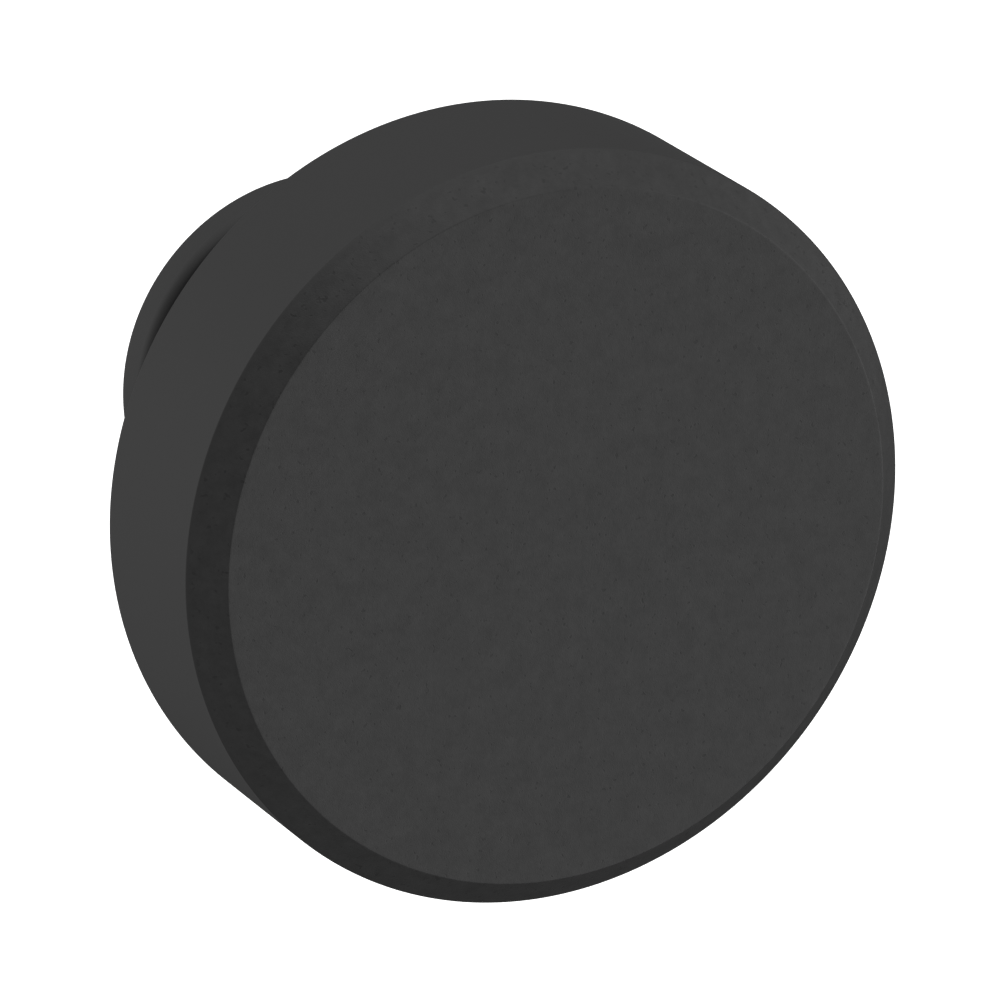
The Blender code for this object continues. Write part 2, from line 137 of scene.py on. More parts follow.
def showPiece(name, mesh, finish, nodes, sharpAngle=35):
    # lays an upright mesh level, and makes it the piece that stands for these CAD nodes
    mesh.transform(layLevel)
    mesh.name = name
    mesh.materials.clear()
    mesh.materials.append(finish)
    mesh.shade_smooth()
    mesh.set_sharp_from_angle(angle=math.radians(sharpAngle))
    piece = bpy.data.objects.new(name, mesh)
    bpy.context.scene.collection.objects.link(piece)
    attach(piece, "root")
    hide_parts(*nodes)
    return piece


# An outline is a list of (radius, height, thread, knurl): the last two are how much of each shows there.
def rounded(corners, closed, steps=4, guard=0.12):
    # an outline from corners (radius, height, edge radius), each rounded by an arc with a guard point on
    # either side, which keeps the flats next to it flat when they are shaded smooth
    points = []
    for i, (radius, height, edge) in enumerate(corners):
        corner = Vector((radius, height))
        isEnd = not closed and i in (0, len(corners) - 1)
        if edge == 0 or isEnd:
            points.append(corner)
            continue
        before = (Vector(corners[i - 1][:2]) - corner).normalized()
        after = (Vector(corners[(i + 1) % len(corners)][:2]) - corner).normalized()
        half = before.angle(after) / 2
        reach = edge / math.tan(half)
        centre = corner + (before + after).normalized() * edge / math.sin(half)
        start = (corner + before * reach - centre).normalized()
        end = (corner + after * reach - centre).normalized()
        points.append(corner + before * (reach + guard))
        points += [centre + start.slerp(end, k / steps) * edge for k in range(steps + 1)]
        points.append(corner + after * (reach + guard))
    return [(p.x, p.y, 0, 0) for p in points]


def arcPoints(centre, radius, startAngle, endAngle, steps):
    turns = [math.radians(startAngle + (endAngle - startAngle) * i / steps) for i in range(steps + 1)]
    return [(centre[0] + radius * math.cos(t), centre[1] + radius * math.sin(t), 0, 0) for t in turns]


def threaded(radius, start, end, pitch, rows=12):
    # a straight stretch with a thread that runs out over the last turn at each end
    count = max(2, round(abs(end - start) / pitch * rows))
    stretch = []
    for i in range(count + 1):
        height = start + (end - start) * i / count
        fade = min(1, min(abs(height - start), abs(height - end)) / pitch)
        stretch.append((radius, height, fade, 0))
    return stretch


def knurled(radius, start, end, rows=24):
    # a straight band whose knurl fades in over its first and last tenth
    stretch = []
    for i in range(rows + 1):
        share = i / rows
        fade = min(1, min(share, 1 - share) * 10)
        stretch.append((radius, start + (end - start) * share, 0, fade))
    return stretch


def outlineMesh(points, closed):
    # the tree's sweep lays an outline's +Y downwards, so heights go in with the other sign
    mesh = bpy.data.meshes.new("outline")
    edges = [(i, i + 1) for i in range(len(points) - 1)]
    if closed:
        edges.append((len(points) - 1, 0))
    mesh.from_pydata([((p[0] - hub) * mm, -p[1] * mm, 0) for p in points], edges, [])
    for name, index in (("thread", 2), ("knurl", 3)):
        weight = mesh.attributes.new(name, "FLOAT", "POINT")
        weight.data.foreach_set("value", [float(p[index]) for p in points])
    return mesh


def makeTurningTree():
    # sweeps an outline round the axis, then raises a thread and a diamond knurl where its weights say
    tree, given = newTree("turning", {
        "Steps": "Int", "Thread Pitch": "Float", "Thread Depth": "Float",
        "Knurl Teeth": "Float", "Knurl Pitch": "Float", "Knurl Depth": "Float", "Finish": "Material",
    })
    circle = addNode(tree, "GeometryNodeCurvePrimitiveCircle", {
        "Resolution": given["Steps"], "Radius": hub * mm,
    })
    outline = addNode(tree, "GeometryNodeMeshToCurve", {"Mesh": given["Geometry"]})
    swept = addNode(tree, "GeometryNodeCurveToMesh", {
        "Curve": circle.outputs[0], "Profile Curve": outline.outputs[0],
    })
    welded = addNode(tree, "GeometryNodeMergeByDistance", {
        "Geometry": swept.outputs[0], "Distance": weld * mm,
    })
    made = dict(given.items())
    place = addNode(tree, "GeometryNodeInputPosition").outputs[0]
    made["x"], made["y"], made["z"] = addNode(tree, "ShaderNodeSeparateXYZ", {0: place}).outputs
    for weight in ("thread", "knurl"):
        stored = addNode(tree, "GeometryNodeInputNamedAttribute", {"Name": weight}, data_type="FLOAT")
        made[weight] = stored.outputs[0]
    flatShare = 0.1875  # of a thread's slope, lying flat at its root and again at its crest
    steepness = 1 / (1 - 2 * flatShare)
    sums = [  # a name, an operation and its values, which are numbers or the names of inputs and earlier sums
        ("angle", "ARCTAN2", "y", "x"),
        ("turn", "DIVIDE", "angle", math.tau),
        ("threadRise", "DIVIDE", "z", "Thread Pitch"),
        ("threadPhase", "SUBTRACT", "threadRise", "turn"),
        ("knurlRise", "DIVIDE", "z", "Knurl Pitch"),
        ("knurlTurn", "MULTIPLY", "turn", "Knurl Teeth"),
        ("leftPhase", "ADD", "knurlTurn", "knurlRise"),
        ("rightPhase", "SUBTRACT", "knurlTurn", "knurlRise"),
    ]
    for side in ("thread", "left", "right"):  # each ridge goes from 0 to 1 and back over a whole number
        sums += [
            (side + "Part", "FRACT", side + "Phase"),
            (side + "Offset", "SUBTRACT", side + "Part", 0.5),
            (side + "Swing", "ABSOLUTE", side + "Offset"),
            (side + "Drop", "MULTIPLY", side + "Swing", 2.0),
            (side + "Ridge", "SUBTRACT", 1.0, side + "Drop"),
        ]
    sums += [
        ("steepRidge", "MULTIPLY_ADD", "threadRidge", steepness, -flatShare * steepness),
        ("rootedRidge", "MAXIMUM", "steepRidge", 0.0),
        ("flatRidge", "MINIMUM", "rootedRidge", 1.0),
        ("threadShare", "MULTIPLY", "flatRidge", "thread"),
        ("threadLift", "MULTIPLY", "threadShare", "Thread Depth"),
        ("diamond", "MINIMUM", "leftRidge", "rightRidge"),
        ("knurlShare", "MULTIPLY", "diamond", "knurl"),
        ("knurlLift", "MULTIPLY", "knurlShare", "Knurl Depth"),
        ("lift", "ADD", "threadLift", "knurlLift"),
    ]
    for name, operation, *values in sums:
        inputs = {i: made.get(value, value) for i, value in enumerate(values)}
        made[name] = addNode(tree, "ShaderNodeMath", inputs, operation=operation).outputs[0]
    flat = addNode(tree, "ShaderNodeCombineXYZ", {0: made["x"], 1: made["y"]}).outputs[0]
    outwards = addNode(tree, "ShaderNodeVectorMath", {0: flat}, operation="NORMALIZE").outputs[0]
    offset = addNode(tree, "ShaderNodeVectorMath", {0: outwards, "Scale": made["lift"]}, operation="SCALE")
    raised = addNode(tree, "GeometryNodeSetPosition", {
        "Geometry": welded.outputs[0], "Offset": offset.outputs[0],
    })
    real = addNode(tree, "GeometryNodeRealizeInstances", {0: raised.outputs[0]})
    finished = addNode(tree, "GeometryNodeSetMaterial", {
        "Geometry": real.outputs[0], "Material": given["Finish"],
    })
    addNode(tree, "NodeGroupOutput", {0: finished.outputs[0]})
    return tree


def makeCircleTree():
    # sets copies of a part round a circle, each turned to face outwards
    tree, given = newTree("roundACircle", {
        "Count": "Int", "Circle": "Float", "First Turn": "Float", "Height": "Float", "Finish": "Material",
    })
    made = dict(given.items())
    made["index"] = addNode(tree, "GeometryNodeInputIndex").outputs[0]
    sums = [
        ("step", "DIVIDE", math.tau, "Count"),
        ("turn", "MULTIPLY_ADD", "index", "step", "First Turn"),
        ("cosine", "COSINE", "turn"),
        ("sine", "SINE", "turn"),
        ("across", "MULTIPLY", "cosine", "Circle"),
        ("along", "MULTIPLY", "sine", "Circle"),
    ]
    for name, operation, *values in sums:
        inputs = {i: made.get(value, value) for i, value in enumerate(values)}
        made[name] = addNode(tree, "ShaderNodeMath", inputs, operation=operation).outputs[0]
    place = addNode(tree, "ShaderNodeCombineXYZ", {0: made["across"], 1: made["along"], 2: given["Height"]})
    points = addNode(tree, "GeometryNodePoints", {"Count": given["Count"], "Position": place.outputs[0]})
    facing = addNode(tree, "ShaderNodeCombineXYZ", {2: made["turn"]})
    copies = addNode(tree, "GeometryNodeInstanceOnPoints", {
        "Points": points.outputs[0], "Instance": given["Geometry"], "Rotation": facing.outputs[0],
    })
    real = addNode(tree, "GeometryNodeRealizeInstances", {0: copies.outputs[0]})
    finished = addNode(tree, "GeometryNodeSetMaterial", {
        "Geometry": real.outputs[0], "Material": given["Finish"],
    })
    addNode(tree, "NodeGroupOutput", {0: finished.outputs[0]})
    return tree


turningTree = makeTurningTree()
circleTree = makeCircleTree()


def turned(name, points, closed, finish, steps, pitch=1.0, threadDepth=0.0,
           teeth=1, knurlPitch=1.0, knurlDepth=0.0):
    # a turned mesh; the thread and the knurl stay flat unless they are given a depth
    values = {
        "Steps": steps, "Thread Pitch": pitch * mm, "Thread Depth": threadDepth * mm,
        "Knurl Teeth": float(teeth), "Knurl Pitch": knurlPitch * mm, "Knurl Depth": knurlDepth * mm,
        "Finish": finish,
    }
    return faceOutwards(runTree(name, outlineMesh(points, closed), turningTree, values))


def roundACircle(name, part, count, circle, firstTurn, height, finish):
    values = {
        "Count": count, "Circle": circle * mm, "First Turn": math.radians(firstTurn),
        "Height": height * mm, "Finish": finish,
    }
    return runTree(name, part, circleTree, values)


def prism(sides, radius, bottom, top):
    shape = bmesh.new()
    bmesh.ops.create_cone(
        shape, cap_ends=True, segments=sides,
        radius1=radius * mm, radius2=radius * mm, depth=(top - bottom) * mm,
    )
    bmesh.ops.translate(shape, verts=shape.verts, vec=(0, 0, (top + bottom) / 2 * mm))
    mesh = bpy.data.meshes.new("prism")
    shape.to_mesh(mesh)
    shape.free()
    return mesh


def sectorBlock(inner, outer, span, bottom, top, edge=0.0, steps=12):
    # a thick piece of a ring, its middle on +X, with its edges rounded
    turns = [math.radians(span * (i / steps - 0.5)) for i in range(steps + 1)]
    rim = [(outer * math.cos(t), outer * math.sin(t)) for t in turns]
    rim += [(inner * math.cos(t), inner * math.sin(t)) for t in reversed(turns)]
    shape = bmesh.new()
    floor = shape.faces.new([shape.verts.new((x * mm, y * mm, bottom * mm)) for x, y in rim])
    raised = bmesh.ops.extrude_face_region(shape, geom=[floor])["geom"]
    risen = [v for v in raised if isinstance(v, bmesh.types.BMVert)]
    bmesh.ops.translate(shape, verts=risen, vec=(0, 0, (top - bottom) * mm))
    bmesh.ops.recalc_face_normals(shape, faces=shape.faces)
    if edge:
        facetLimit = math.radians(40)  # below this an edge is only a step of the block's curved sides
        sharp = [e for e in shape.edges if e.calc_face_angle() > facetLimit]
        bmesh.ops.bevel(shape, geom=sharp, offset=edge * mm, segments=3, profile=0.5, affect="EDGES")
    mesh = bpy.data.meshes.new("sector")
    shape.to_mesh(mesh)
    shape.free()
    return mesh


def linear(hexColour):
    # an sRGB hex colour as linear numbers
    parts = [int(hexColour[i:i + 2], 16) / 255 for i in (1, 3, 5)]
    return [c / 12.92 if c <= 0.04045 else ((c + 0.055) / 1.055) ** 2.4 for c in parts] + [1.0]


def newFinish(name, colour, roughness, metallic=0.0):
    finish = bpy.data.materials.new(name)
    finish.use_nodes = True
    tree = finish.node_tree
    shader = tree.nodes["Principled BSDF"]
    shader.inputs["Base Color"].default_value = linear(colour)
    shader.inputs["Roughness"].default_value = roughness
    shader.inputs["Metallic"].default_value = metallic
    finish.diffuse_color = linear(colour)
    place = addNode(tree, "ShaderNodeTexCoord").outputs["Object"]
    return finish, tree, shader, place


def perMetre(sizeInMm):
    # the scale that gives a pattern of that size, because Object coordinates are in metres
    return 1 / (sizeInMm * mm)


patternSpan = (0.3, 0.7)  # nearly all of a noise pattern lies between these


def mottle(tree, shader, pattern, colours=None, roughness=None):
    # lets the colour, the roughness or both follow a pattern, from the first value given to the second
    if colours:
        ramp = addNode(tree, "ShaderNodeValToRGB", {0: pattern})
        for element, position, colour in zip(ramp.color_ramp.elements, patternSpan, colours):
            element.position, element.color = position, linear(colour)
        tree.links.new(ramp.outputs[0], shader.inputs["Base Color"])
    if roughness:
        spread = addNode(tree, "ShaderNodeMapRange", {
            "Value": pattern, "From Min": patternSpan[0], "From Max": patternSpan[1],
            "To Min": roughness[0], "To Max": roughness[1],
        })
        tree.links.new(spread.outputs[0], shader.inputs["Roughness"])


def grainedAbs():
    # ABS, injection-moulded: a deep neutral black, satin and nearly smooth on the sides. Its tool was
    # spark-eroded at the working face, so the face and its chamfer are a little duller, with a fine mottled
    # grain and scattered pits, their darker colour painted shade in them over their real relief
    look = {
        # the pit colour is painted shade, put where the pits' relief lies lowest
        "plain": "#353535", "grains": ("#2e2e2e", "#3c3c3c"), "pit": "#2a2a2a",
        "roughness": 0.38, "faceRoughness": 0.40, "ior": 1.5,
        "grain": 1.1, "fineGrain": 0.09, "pitSpacing": 0.4, "pitEdge": (0.27, 0.35),
        "depth": 0.02, "fineShare": 0.35, "pitShare": 0.3, "sideGrain": 0.1,
        "grainedBack": 2.0, "fade": 0.3,  # mm that the grain reaches back from the face, and fades out over
    }
    finish, tree, shader, place = newFinish("abs_moulded_spark_eroded", look["plain"], look["roughness"])
    shader.inputs["IOR"].default_value = look["ior"]
    grainStart = (look["grainedBack"] - measure("head_shell")["top"]) * mm
    level = addNode(tree, "ShaderNodeSeparateXYZ", {0: place}).outputs["Y"]
    onFace = addNode(tree, "ShaderNodeMapRange", {
        "Value": level, "From Min": grainStart, "From Max": grainStart - look["fade"] * mm,
    }).outputs[0]  # 0 on the sides, 1 on the chamfer and the face
    grain = addNode(tree, "ShaderNodeTexNoise", {
        "Vector": place, "Scale": perMetre(look["grain"]), "Detail": 5.0, "Roughness": 0.75,
    }).outputs[0]
    fine = addNode(tree, "ShaderNodeTexNoise", {
        "Vector": place, "Scale": perMetre(look["fineGrain"]), "Detail": 1.0,
    }).outputs[0]
    pits = addNode(tree, "ShaderNodeTexNoise", {
        "Vector": place, "Scale": perMetre(look["pitSpacing"]), "Detail": 1.0,
    }).outputs[0]
    whole = addNode(tree, "ShaderNodeMapRange", {
        "Value": pits, "From Min": look["pitEdge"][0], "From Max": look["pitEdge"][1],
    }, interpolation_type="SMOOTHSTEP").outputs[0]  # 0 in a pit
    grained = addNode(
        tree, "ShaderNodeMath", {0: fine, 1: look["fineShare"], 2: grain}, operation="MULTIPLY_ADD"
    ).outputs[0]
    relief = addNode(
        tree, "ShaderNodeMath", {0: whole, 1: look["pitShare"], 2: grained}, operation="MULTIPLY_ADD"
    ).outputs[0]
    reach = addNode(tree, "ShaderNodeMapRange", {
        "Value": onFace, "From Min": 0.0, "From Max": 1.0, "To Min": look["sideGrain"], "To Max": 1.0,
    }).outputs[0]
    bump = addNode(tree, "ShaderNodeBump", {
        "Strength": reach, "Distance": look["depth"] * mm, "Height": relief,
    })
    tree.links.new(bump.outputs[0], shader.inputs["Normal"])
    ramp = addNode(tree, "ShaderNodeValToRGB", {0: grain})
    for element, position, colour in zip(ramp.color_ramp.elements, patternSpan, look["grains"]):
        element.position, element.color = position, linear(colour)
    # in a pit the grain gives way to the darker pit colour: painted shade in the pit, on top of its real
    # relief from the bump
    pitted = addNode(tree, "ShaderNodeMixRGB", {0: whole, 1: linear(look["pit"]), 2: ramp.outputs[0]})
    shade = addNode(tree, "ShaderNodeMixRGB", {0: onFace, 1: linear(look["plain"]), 2: pitted.outputs[0]})
    tree.links.new(shade.outputs[0], shader.inputs["Base Color"])
    dulled = addNode(tree, "ShaderNodeMapRange", {
        "Value": onFace, "From Min": 0.0, "From Max": 1.0,
        "To Min": look["roughness"], "To Max": look["faceRoughness"],
    })
    tree.links.new(dulled.outputs[0], shader.inputs["Roughness"])
    return finish


def blackOxideSteel():
    # carbon steel screws, cold-headed and black-oxide coated: dark and satin, mottled where oil has dried
    look = {
        "plain": "#3b3b3d", "colours": ("#343437", "#434346"), "roughness": (0.3, 0.5),
        "film": 0.8, "scratch": 0.15, "relief": 0.4, "depth": 0.004,
    }
    finish, tree, shader, place = newFinish("steel_black_oxide", look["plain"], look["roughness"][0], 1.0)
    film = addNode(tree, "ShaderNodeTexNoise", {
        "Vector": place, "Scale": perMetre(look["film"]), "Detail": 4.0,
    })
    mottle(tree, shader, film.outputs[0], look["colours"], look["roughness"])
    scratch = addNode(tree, "ShaderNodeTexNoise", {
        "Vector": place, "Scale": perMetre(look["scratch"]), "Detail": 2.0,
    })
    bump = addNode(tree, "ShaderNodeBump", {
        "Strength": look["relief"], "Distance": look["depth"] * mm, "Height": scratch.outputs[0],
    })
    tree.links.new(bump.outputs[0], shader.inputs["Normal"])
    return finish


def zincPlatedSteel():
    # cold-formed steel with bright zinc plate: cool and light, slightly cloudy, with fine handling scuffs
    look = {
        "plain": "#c2c5ca", "colours": ("#b4b8c0", "#cbccce"), "roughness": (0.24, 0.42),
        "cloud": 2.5, "crystal": 0.2, "relief": 0.3, "depth": 0.003,
    }
    finish, tree, shader, place = newFinish("steel_zinc_plated", look["plain"], look["roughness"][0], 1.0)
    cloud = addNode(tree, "ShaderNodeTexNoise", {
        "Vector": place, "Scale": perMetre(look["cloud"]), "Detail": 5.0,
    })
    mottle(tree, shader, cloud.outputs[0], look["colours"], look["roughness"])
    crystals = addNode(tree, "ShaderNodeTexVoronoi", {"Vector": place, "Scale": perMetre(look["crystal"])})
    bump = addNode(tree, "ShaderNodeBump", {
        "Strength": look["relief"], "Distance": look["depth"] * mm, "Height": crystals.outputs[0],
    })
    tree.links.new(bump.outputs[0], shader.inputs["Normal"])
    return finish


def naturalNylon():
    # nylon, injection-moulded without pigment: milky off-white that lets some light in, smooth and waxy
    look = {
        "plain": "#d3ccb9", "colours": ("#cbc3ad", "#dad4c4"), "roughness": (0.36, 0.48), "ior": 1.53,
        "milk": 0.25, "milkColour": (1.0, 0.85, 0.6), "milkDepth": 1.2, "flow": 4, "flowTwist": 0.6,
    }
    finish, tree, shader, place = newFinish("nylon_moulded_natural", look["plain"], look["roughness"][0])
    shader.inputs["IOR"].default_value = look["ior"]
    shader.inputs["Subsurface Weight"].default_value = look["milk"]
    shader.inputs["Subsurface Radius"].default_value = look["milkColour"]
    shader.inputs["Subsurface Scale"].default_value = look["milkDepth"] * mm
    flow = addNode(tree, "ShaderNodeTexNoise", {
        "Vector": place, "Scale": perMetre(look["flow"]), "Detail": 3.0, "Distortion": look["flowTwist"],
    })
    mottle(tree, shader, flow.outputs[0], look["colours"], look["roughness"])
    return finish


def nickelPlatedMagnet():
    # sintered magnet, tumbled and nickel-plated: warm grey mirror with a faint orange peel
    look = {
        "plain": "#b9b1a6", "roughness": (0.14, 0.28), "peel": 0.5, "haze": 3, "relief": 0.35, "depth": 0.006,
    }
    finish, tree, shader, place = newFinish("magnet_nickel_plated", look["plain"], look["roughness"][0], 1.0)
    haze = addNode(tree, "ShaderNodeTexNoise", {
        "Vector": place, "Scale": perMetre(look["haze"]), "Detail": 4.0,
    })
    mottle(tree, shader, haze.outputs[0], roughness=look["roughness"])
    peel = addNode(tree, "ShaderNodeTexNoise", {
        "Vector": place, "Scale": perMetre(look["peel"]), "Detail": 2.0,
    })
    bump = addNode(tree, "ShaderNodeBump", {
        "Strength": look["relief"], "Distance": look["depth"] * mm, "Height": peel.outputs[0],
    })
    tree.links.new(bump.outputs[0], shader.inputs["Normal"])
    return finish


def closedCellFoam():
    # polyethylene foam, die-cut from sheet: dull dark grey, pitted all over by its cut cells
    look = {
        "plain": "#48484a", "colours": ("#414143", "#505052"), "roughness": 0.95,
        "cell": 0.35, "shade": 1.2, "relief": 0.9, "depth": 0.12,
    }
    finish, tree, shader, place = newFinish("foam_closed_cell", look["plain"], look["roughness"])
    shade = addNode(tree, "ShaderNodeTexNoise", {
        "Vector": place, "Scale": perMetre(look["shade"]), "Detail": 3.0,
    })
    mottle(tree, shader, shade.outputs[0], look["colours"])
    cells = addNode(tree, "ShaderNodeTexVoronoi", {"Vector": place, "Scale": perMetre(look["cell"])})
    bump = addNode(tree, "ShaderNodeBump", {
        "Strength": look["relief"], "Distance": look["depth"] * mm, "Height": cells.outputs[0],
    })
    tree.links.new(bump.outputs[0], shader.inputs["Normal"])
    return finish


def turnedBrass():
    # free-cutting brass, turned and knurled: yellow and bright, with tool rings round the axis,
    # and duller where it is darker
    look = {
        "plain": "#d8b56c", "colours": ("#c8a258", "#dfbf7b"), "roughness": (0.34, 0.22),
        "ring": 0.12, "ringWobble": 0.4, "tarnish": 1.5, "relief": 0.35, "depth": 0.004,
    }
    finish, tree, shader, place = newFinish("brass_turned", look["plain"], look["roughness"][0], 1.0)
    tarnish = addNode(tree, "ShaderNodeTexNoise", {
        "Vector": place, "Scale": perMetre(look["tarnish"]), "Detail": 4.0,
    })
    mottle(tree, shader, tarnish.outputs[0], look["colours"], look["roughness"])
    bandStep = math.tau / 20  # metres between a wave texture's bands at scale 1
    rings = addNode(tree, "ShaderNodeTexWave", {
        "Vector": place, "Scale": perMetre(look["ring"]) * bandStep, "Distortion": look["ringWobble"],
    }, wave_type="BANDS", bands_direction="Y")
    bump = addNode(tree, "ShaderNodeBump", {
        "Strength": look["relief"], "Distance": look["depth"] * mm, "Height": rings.outputs[1],
    })
    tree.links.new(bump.outputs[0], shader.inputs["Normal"])
    return finish


def mouldedRubber():
    # nitrile rubber, compression-moulded: matt black with a faint grey bloom
    look = {
        "plain": "#1f1f1f", "colours": ("#1a1a1a", "#262626"), "roughness": (0.72, 0.88),
        "bloom": 2, "pore": 0.2, "relief": 0.5, "depth": 0.01,
    }
    finish, tree, shader, place = newFinish("rubber_moulded_matt", look["plain"], look["roughness"][0])
    bloom = addNode(tree, "ShaderNodeTexNoise", {
        "Vector": place, "Scale": perMetre(look["bloom"]), "Detail": 5.0,
    })
    mottle(tree, shader, bloom.outputs[0], look["colours"], look["roughness"])
    pores = addNode(tree, "ShaderNodeTexNoise", {
        "Vector": place, "Scale": perMetre(look["pore"]), "Detail": 2.0,
    })
    bump = addNode(tree, "ShaderNodeBump", {
        "Strength": look["relief"], "Distance": look["depth"] * mm, "Height": pores.outputs[0],
    })
    tree.links.new(bump.outputs[0], shader.inputs["Normal"])
    return finish


absBlack = grainedAbs()
oxideSteel = blackOxideSteel()
zincSteel = zincPlatedSteel()
nylon = naturalNylon()
nickel = nickelPlatedMagnet()
foam = closedCellFoam()
brass = turnedBrass()
rubber = mouldedRubber()
print("finishes made")


camera = {
    "azimuth": -25.92, "elevation": 19.31,  # degrees, from the working face's normal and above the level
    "distance": 21.827, "right": 0.1544, "down": 0.0999,  # in head radii, from the middle of the face
    "lens": 311.8, "sensor": 36,  # mm
    "nearest": 0.01, "farthest": 20,  # metres
}


def makeCamera():
    head = measure("head_shell")
    a, e = math.radians(camera["azimuth"]), math.radians(camera["elevation"])
    back = Vector((math.sin(a) * math.cos(e), -math.cos(a) * math.cos(e), math.sin(e)))
    right = Vector((math.cos(a), math.sin(a), 0))
    up = back.cross(right)
    away = back * camera["distance"] - right * camera["right"] + up * camera["down"]
    data = bpy.data.cameras.new("camera")
    data.lens = camera["lens"]
    data.sensor_width = camera["sensor"]
    data.clip_start, data.clip_end = camera["nearest"], camera["farthest"]
    taker = bpy.data.objects.new("camera", data)
    bpy.context.scene.collection.objects.link(taker)
    turn = Matrix((right, up, back)).transposed().to_4x4()
    middle = Vector((0, -head["top"] * mm, 0))
    taker.matrix_world = Matrix.Translation(middle + away * head["radius"] * mm) @ turn
    bpy.context.scene.camera = taker


makeCamera()
print("camera made")


headShell = {
    "chamfer": 2.0, "edge": 0.1, "rimEdge": 0.25,
    "faceWall": 1.6, "sideWall": 2.2, "rimWall": 1.6, "ledge": 2.8, "innerFillet": 0.8,
    "bossRadius": 2.6, "pilotRadius": 1.25, "pilotDepth": 7.2, "ribWidth": 1.6, "ribStart": 1.0,
    "sunk": 0.4,  # how far a boss and its rib reach into the walls that they join
    "steps": 240,
}
backPlate = {
    "thickness": 2.4, "edge": 0.3, "bossRadius": 6.0, "bossEdge": 0.2,
    "screwHole": 2.7, "headHole": 4.8, "headSink": 2.4,
    "closingHole": 1.6, "closingSink": 2.8, "dowelHole": 1.1, "dowelDepth": 1.65, "steps": 192,
}
closingScrew = {
    "head": 2.6, "rim": 0.12, "edge": 0.1, "core": 1.0, "thread": 0.4, "pitch": 1.1, "neck": 0.3,
    "threadEnd": 1.4, "tip": 0.9, "tipRadius": 0.5, "steps": 48,
    "socket": 1.15, "socketDepth": 0.9, "stub": 0.5,
}

screwNodes = [f"closing_screw_{i + 1}" for i in range(4)]
screwPlace = measure(screwNodes[0])
screwCircle, screwTurn = screwPlace["circle"], screwPlace["turn"]
dowelPlace = measure("stem_dowel_right")


def makeHeadShell():
    size, at = headShell, measure("head_shell")
    inner, ceiling = at["radius"] - size["sideWall"], at["top"] - size["faceWall"]
    rim, ledge = at["radius"] - size["rimWall"], at["bottom"] + size["ledge"]
    outline = rounded([
        (0, at["top"], 0),
        (at["radius"] - size["chamfer"], at["top"], size["edge"]),
        (at["radius"], at["top"] - size["chamfer"], size["edge"]),
        (at["radius"], at["bottom"], size["rimEdge"]),
        (rim, at["bottom"], size["edge"]),
        (rim, ledge, 0),
        (inner, ledge, 0),
        (inner, ceiling, size["innerFillet"]),
        (0, ceiling, 0),
    ], closed=False)
    shell = turned("head_shell", outline, False, absBlack, size["steps"])
    boss = prism(48, size["bossRadius"], ledge, ceiling + size["sunk"])
    ribLength, ribWidth = inner + size["sunk"] - screwCircle, size["ribWidth"]
    ribBottom, ribTop = ledge + size["ribStart"], ceiling + size["sunk"]
    rib = prism(4, 1 / math.sqrt(2), 0, 1)  # turned by half a right angle it is a cube of 1 mm
    rib.transform(Matrix.Rotation(math.radians(45), 4, "Z"))
    rib.transform(Matrix.Diagonal((ribLength, ribWidth, ribTop - ribBottom, 1)))
    rib.transform(Matrix.Translation((ribLength / 2 * mm, 0, ribBottom * mm)))
    bossWithRib = combine(boss, [rib], "UNION")
    bosses = roundACircle("bosses", bossWithRib, len(screwNodes), screwCircle, screwTurn, 0, absBlack)
    pilot = prism(32, size["pilotRadius"], ledge - over, ledge + size["pilotDepth"])
    pilots = roundACircle("pilots", pilot, len(screwNodes), screwCircle, screwTurn, 0, absBlack)
    shell = combine(combine(shell, [bosses], "UNION"), [pilots], "DIFFERENCE")
    showPiece("headShell", shell, absBlack, ["head_shell"])


def makeBackPlate():
    size, at = backPlate, measure("back_plate")
    outer = at["top"] - size["thickness"]
    outline = rounded([
        (size["headHole"], at["top"], 0),
        (at["radius"], at["top"], size["edge"]),
        (at["radius"], outer, size["edge"]),
        (size["bossRadius"], outer, 0),
        (size["bossRadius"], at["bottom"], size["bossEdge"]),
        (size["screwHole"], at["bottom"], 0),
        (size["screwHole"], at["top"] - size["headSink"], 0),
    ], closed=True)
    plate = turned("back_plate", outline, True, absBlack, size["steps"])
    sinkDepth = size["closingSink"] - size["closingHole"]
    hole = turned("hole", [
        (0, at["top"] + over, 0, 0),
        (size["closingHole"], at["top"] + over, 0, 0),
        (size["closingHole"], outer + sinkDepth, 0, 0),
        (size["closingSink"] + over, outer - over, 0, 0),
        (0, outer - over, 0, 0),
    ], False, absBlack, 64)
    holes = roundACircle("holes", hole, len(screwNodes), screwCircle, screwTurn, 0, absBlack)
    dowelHole = prism(32, size["dowelHole"], outer - over, outer + size["dowelDepth"])
    dowelHoles = roundACircle("dowelHoles", dowelHole, 2, dowelPlace["circle"], 0, 0, absBlack)
    plate = combine(plate, [holes, dowelHoles], "DIFFERENCE")
    showPiece("backPlate", plate, absBlack, ["back_plate"])


def makeClosingScrews():
    size, at = closingScrew, screwPlace
    length = at["top"] - at["bottom"]
    cone = size["head"] - size["core"]
    outline = [(0, length, 0, 0), (size["tipRadius"], length - size["tip"], 0, 0)]
    outline += threaded(size["core"], length - size["threadEnd"], cone + size["neck"], size["pitch"])
    outline += rounded([
        (size["head"], size["rim"], 0), (size["head"], 0, size["edge"]), (0, 0, 0),
    ], closed=False, guard=0.05)
    screw = turned("screw", outline, False, oxideSteel, size["steps"], size["pitch"], size["thread"])
    # known fault: the solver leaves the tool standing on the head as a stub, and cuts no socket
    screw = combine(screw, [prism(6, size["socket"], -size["stub"], size["socketDepth"])], "DIFFERENCE")
    screws = roundACircle("screws", screw, len(screwNodes), screwCircle, screwTurn, at["bottom"], oxideSteel)
    showPiece("closingScrews", screws, oxideSteel, screwNodes)


makeHeadShell()
makeBackPlate()
makeClosingScrews()
print("head made")


